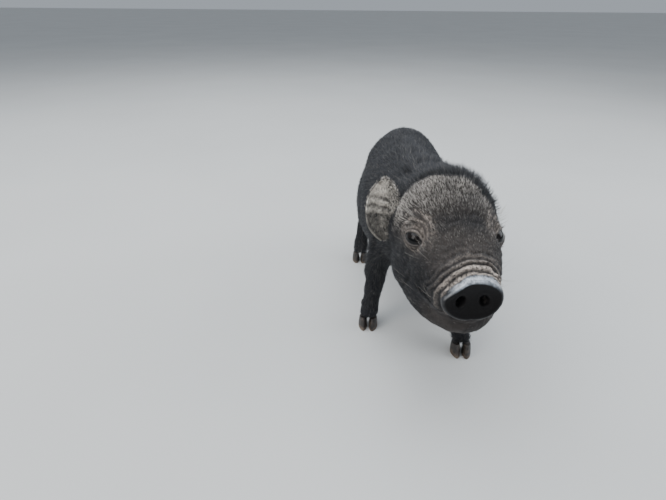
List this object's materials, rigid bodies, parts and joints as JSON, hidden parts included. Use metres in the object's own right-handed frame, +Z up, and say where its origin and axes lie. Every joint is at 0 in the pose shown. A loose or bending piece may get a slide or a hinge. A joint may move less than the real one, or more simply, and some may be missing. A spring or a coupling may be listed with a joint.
{
  "type": "miniature pig",
  "caption": "Young miniature pig, standing still in mid step with its head turned a little, black skin with a thin bristly coat.",
  "frame": {"origin": "on the floor, under the middle of the whole animal's box", "axes": "+X to the animal's left, -Y forwards to its snout, +Z up"},
  "size_m": [0.1028, 0.2778, 0.1519],
  "materials": {
    "skin": "dark skin under short black hair, matt",
    "snout_skin": "bare wrinkled skin, moist on the disc",
    "ear_skin": "thin bare skin, matt",
    "eye": "wet, glossy",
    "claw": "dark horn, satin",
    "coat": "short black bristles with paler tips"
  },
  "bodies": {
    "root": {"claw_front_left_inner": "claw", "claw_front_left_outer": "claw", "claw_front_right_inner": "claw", "claw_front_right_outer": "claw", "claw_hind_left_inner": "claw", "claw_hind_left_outer": "claw", "claw_hind_right_inner": "claw", "claw_hind_right_outer": "claw", "dewclaw_front_left_inner": "claw", "dewclaw_front_left_outer": "claw", "dewclaw_front_right_inner": "claw", "dewclaw_front_right_outer": "claw", "dewclaw_hind_left_inner": "claw", "dewclaw_hind_left_outer": "claw", "dewclaw_hind_right_inner": "claw", "dewclaw_hind_right_outer": "claw", "ear_left": "ear_skin", "ear_right": "ear_skin", "eye_left": "eye", "eye_right": "eye", "head": "skin", "leg_front_left": "skin", "leg_front_right": "skin", "leg_hind_left": "skin", "leg_hind_right": "skin", "neck": "skin", "snout": "snout_skin", "tail": "skin", "torso": "skin"}
  },
  "joints": []
}
